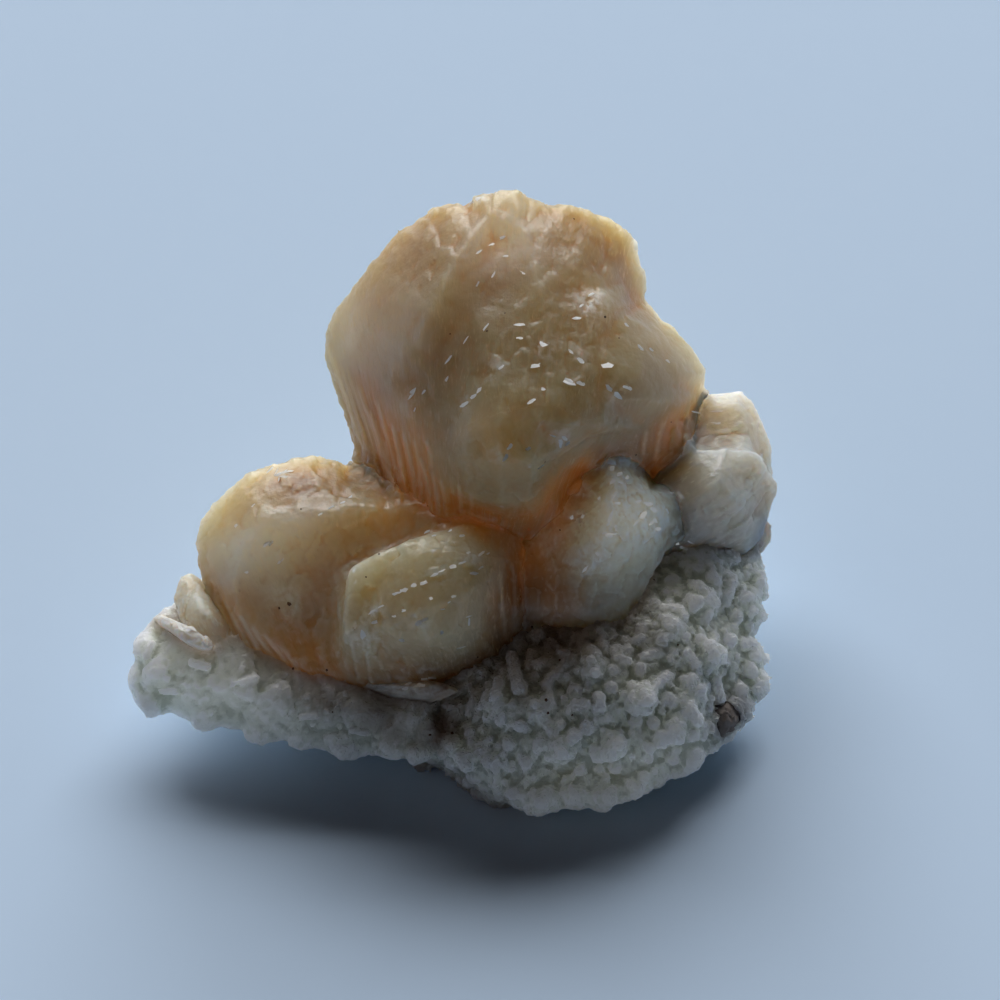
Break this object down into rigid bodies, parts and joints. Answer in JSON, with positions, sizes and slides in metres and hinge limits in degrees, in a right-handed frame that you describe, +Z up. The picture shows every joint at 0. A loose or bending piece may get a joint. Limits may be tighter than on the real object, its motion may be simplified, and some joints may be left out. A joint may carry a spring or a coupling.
{
  "type": "stilbite cluster",
  "caption": "Mineral specimen: peach sheaf-shaped stilbite crystals standing on a pale grey-green drusy matrix that rests on a flat trimmed foot.",
  "frame": {"origin": "on the flat trimmed foot, under the middle of the cluster's width", "axes": "+Z up off the surface it rests on, +X along its longest extent to the side with the thick chunk of matrix, -Y the front with the boss and the druse"},
  "size_m": [0.0705, 0.0535, 0.0499],
  "materials": {
    "stilbite_peach": "translucent peach, satin to pearly, deeper orange at the roots",
    "stilbite_frosted": "translucent, frosted white with pearly glints",
    "stilbite_cream": "translucent cream, striated, pearly",
    "stilbite_pale": "translucent pale peach, satin",
    "druse": "drusy grey-green, translucent, sparkling",
    "basalt": "dull reddish brown, rough"
  },
  "bodies": {
    "root": {"main_sheaf": "stilbite_peach", "left_sheaves": "stilbite_peach", "frosted_sheaf": "stilbite_frosted", "rear_right_sheaf": "stilbite_cream", "pale_blade": "stilbite_pale", "rear_tip": "stilbite_cream", "edge_sheaf": "stilbite_pale", "edge_blade": "stilbite_frosted", "right_tip": "stilbite_frosted", "druse_matrix": "druse", "basalt_remnant": "basalt"}
  },
  "joints": []
}
